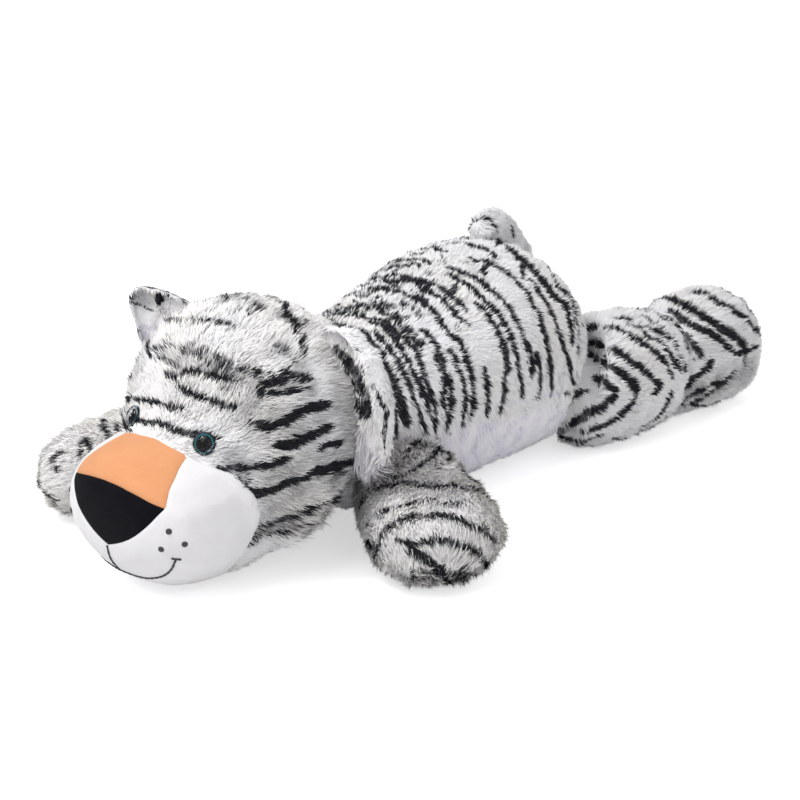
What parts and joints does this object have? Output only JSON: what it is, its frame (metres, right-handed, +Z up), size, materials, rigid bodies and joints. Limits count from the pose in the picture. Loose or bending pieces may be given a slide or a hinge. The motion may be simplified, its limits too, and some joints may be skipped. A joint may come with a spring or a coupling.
{
  "type": "plush tiger",
  "caption": "Large stuffed white tiger lying on its belly, legs stretched out, with a big round head, black nose, folded ears and a short tail on its rump.",
  "frame": {"origin": "on the floor under the middle of the belly", "axes": "+Z up, -Y the way the tiger faces, +X to the tiger's left"},
  "size_m": [0.6226, 1.0748, 0.3191],
  "materials": {
    "striped_plush": "long white pile with thin black stripes",
    "belly_plush": "plain white pile",
    "muzzle_plush": "short smooth white pile",
    "ear_lining": "long soft white pile",
    "bridge_plush": "short peach pile",
    "nose_cloth": "black velvet",
    "thread": "black embroidery thread",
    "filling": "loose polyester fibre",
    "eye_lens": "glossy dark dome",
    "eye_iris": "deep teal",
    "eye_pupil": "black",
    "eye_shank": "black",
    "eye_washer": "white"
  },
  "bodies": {
    "body": {"back_cover": "striped_plush", "belly_cover": "belly_plush", "body_filling": "filling"},
    "neck": {"neck_filling": "filling"},
    "head": {"head_cover": "striped_plush", "head_filling": "filling", "muzzle_cover": "muzzle_plush", "nose_pad": "nose_cloth", "nose_bridge": "bridge_plush", "smile_stitch": "thread", "mouth_stitch": "thread", "whisker_dot_left_1": "thread", "whisker_dot_left_2": "thread", "whisker_dot_left_3": "thread", "whisker_dot_right_1": "thread", "whisker_dot_right_2": "thread", "whisker_dot_right_3": "thread", "eye_left_iris": "eye_iris", "eye_left_pupil": "eye_pupil", "eye_left_lens": "eye_lens", "eye_left_shank": "eye_shank", "eye_left_washer": "eye_washer", "eye_right_iris": "eye_iris", "eye_right_pupil": "eye_pupil", "eye_right_lens": "eye_lens", "eye_right_shank": "eye_shank", "eye_right_washer": "eye_washer"},
    "ear_left": {"ear_left_lining": "ear_lining", "ear_left_back": "striped_plush"},
    "front_leg_left_root": {"front_leg_left_root_filling": "filling"},
    "front_leg_left": {"front_leg_left_cover": "striped_plush", "front_leg_left_filling": "filling"},
    "hind_leg_left_root": {"hind_leg_left_root_filling": "filling"},
    "hind_leg_left_thigh": {"hind_leg_left_thigh_cover": "striped_plush", "hind_leg_left_thigh_filling": "filling"},
    "hind_leg_left_foot": {"hind_leg_left_foot_cover": "striped_plush", "hind_leg_left_foot_filling": "filling"},
    "ear_right": {"ear_right_lining": "ear_lining", "ear_right_back": "striped_plush"},
    "front_leg_right_root": {"front_leg_right_root_filling": "filling"},
    "front_leg_right": {"front_leg_right_cover": "striped_plush", "front_leg_right_filling": "filling"},
    "hind_leg_right_root": {"hind_leg_right_root_filling": "filling"},
    "hind_leg_right_thigh": {"hind_leg_right_thigh_cover": "striped_plush", "hind_leg_right_thigh_filling": "filling"},
    "hind_leg_right_foot": {"hind_leg_right_foot_cover": "striped_plush", "hind_leg_right_foot_filling": "filling"},
    "tail_root": {"tail_root_filling": "filling"},
    "tail": {"tail_cover": "striped_plush", "tail_filling": "filling"}
  },
  "joints": [
    {"name": "neck_turn", "type": "hinge", "parent": "body", "child": "neck", "pos_m": [0, -0.169, 0.112], "axis": [0, 0, 1], "range_deg": [-5, 5]},
    {"name": "neck_nod", "type": "hinge", "parent": "neck", "child": "head", "pos_m": [0, -0.169, 0.112], "axis": [-1, 0, 0], "range_deg": [0, 20]},
    {"name": "ear_left_flap", "type": "hinge", "parent": "head", "child": "ear_left", "pos_m": [0.14469, -0.24, 0.22081], "axis": [0.4114, 0, -0.9115], "range_deg": [-13, 13]},
    {"name": "ear_right_flap", "type": "hinge", "parent": "head", "child": "ear_right", "pos_m": [-0.14588, -0.24, 0.21452], "axis": [0.3751, 0, 0.927], "range_deg": [-13, 13]},
    {"name": "front_leg_left_swing", "type": "hinge", "parent": "body", "child": "front_leg_left_root", "pos_m": [0.105, -0.12078, 0.066], "axis": [0, 0, 1], "range_deg": [0, 26]},
    {"name": "front_leg_left_lift", "type": "hinge", "parent": "front_leg_left_root", "child": "front_leg_left", "pos_m": [0.105, -0.12078, 0.066], "axis": [-0.5, -0.866, 0], "range_deg": [0, 9]},
    {"name": "front_leg_right_swing", "type": "hinge", "parent": "body", "child": "front_leg_right_root", "pos_m": [-0.105, -0.12078, 0.066], "axis": [0, 0, -1], "range_deg": [0, 39]},
    {"name": "front_leg_right_lift", "type": "hinge", "parent": "front_leg_right_root", "child": "front_leg_right", "pos_m": [-0.105, -0.12078, 0.066], "axis": [-0.8988, 0.4384, 0], "range_deg": [0, 9]},
    {"name": "hind_leg_left_swing", "type": "hinge", "parent": "body", "child": "hind_leg_left_root", "pos_m": [0.102, 0.24028, 0.076], "axis": [0, 0, -1], "range_deg": [0, 22]},
    {"name": "hind_leg_left_lift", "type": "hinge", "parent": "hind_leg_left_root", "child": "hind_leg_left_thigh", "pos_m": [0.102, 0.24028, 0.076], "axis": [0.9925, -0.1219, 0], "range_deg": [0, 13]},
    {"name": "hind_leg_left_foot_fold", "type": "hinge", "parent": "hind_leg_left_thigh", "child": "hind_leg_left_foot", "pos_m": [0.1215, 0.39909, 0.072], "axis": [0.9925, -0.1219, 0], "range_deg": [0, 13]},
    {"name": "hind_leg_right_swing", "type": "hinge", "parent": "body", "child": "hind_leg_right_root", "pos_m": [-0.102, 0.24028, 0.076], "axis": [0, 0, 1], "range_deg": [-8, 0]},
    {"name": "hind_leg_right_lift", "type": "hinge", "parent": "hind_leg_right_root", "child": "hind_leg_right_thigh", "pos_m": [-0.102, 0.24028, 0.076], "axis": [0.848, 0.5299, 0], "range_deg": [0, 13]},
    {"name": "hind_leg_right_foot_fold", "type": "hinge", "parent": "hind_leg_right_thigh", "child": "hind_leg_right_foot", "pos_m": [-0.18679, 0.37597, 0.072], "axis": [0.848, 0.5299, 0], "range_deg": [0, 13]},
    {"name": "tail_wag", "type": "hinge", "parent": "body", "child": "tail_root", "pos_m": [-0.021, 0.271, 0.15], "axis": [0, 0, 1], "range_deg": [-13, 13]},
    {"name": "tail_lift", "type": "hinge", "parent": "tail_root", "child": "tail", "pos_m": [-0.021, 0.271, 0.15], "axis": [-1, 0, 0], "range_deg": [0, 14]}
  ]
}
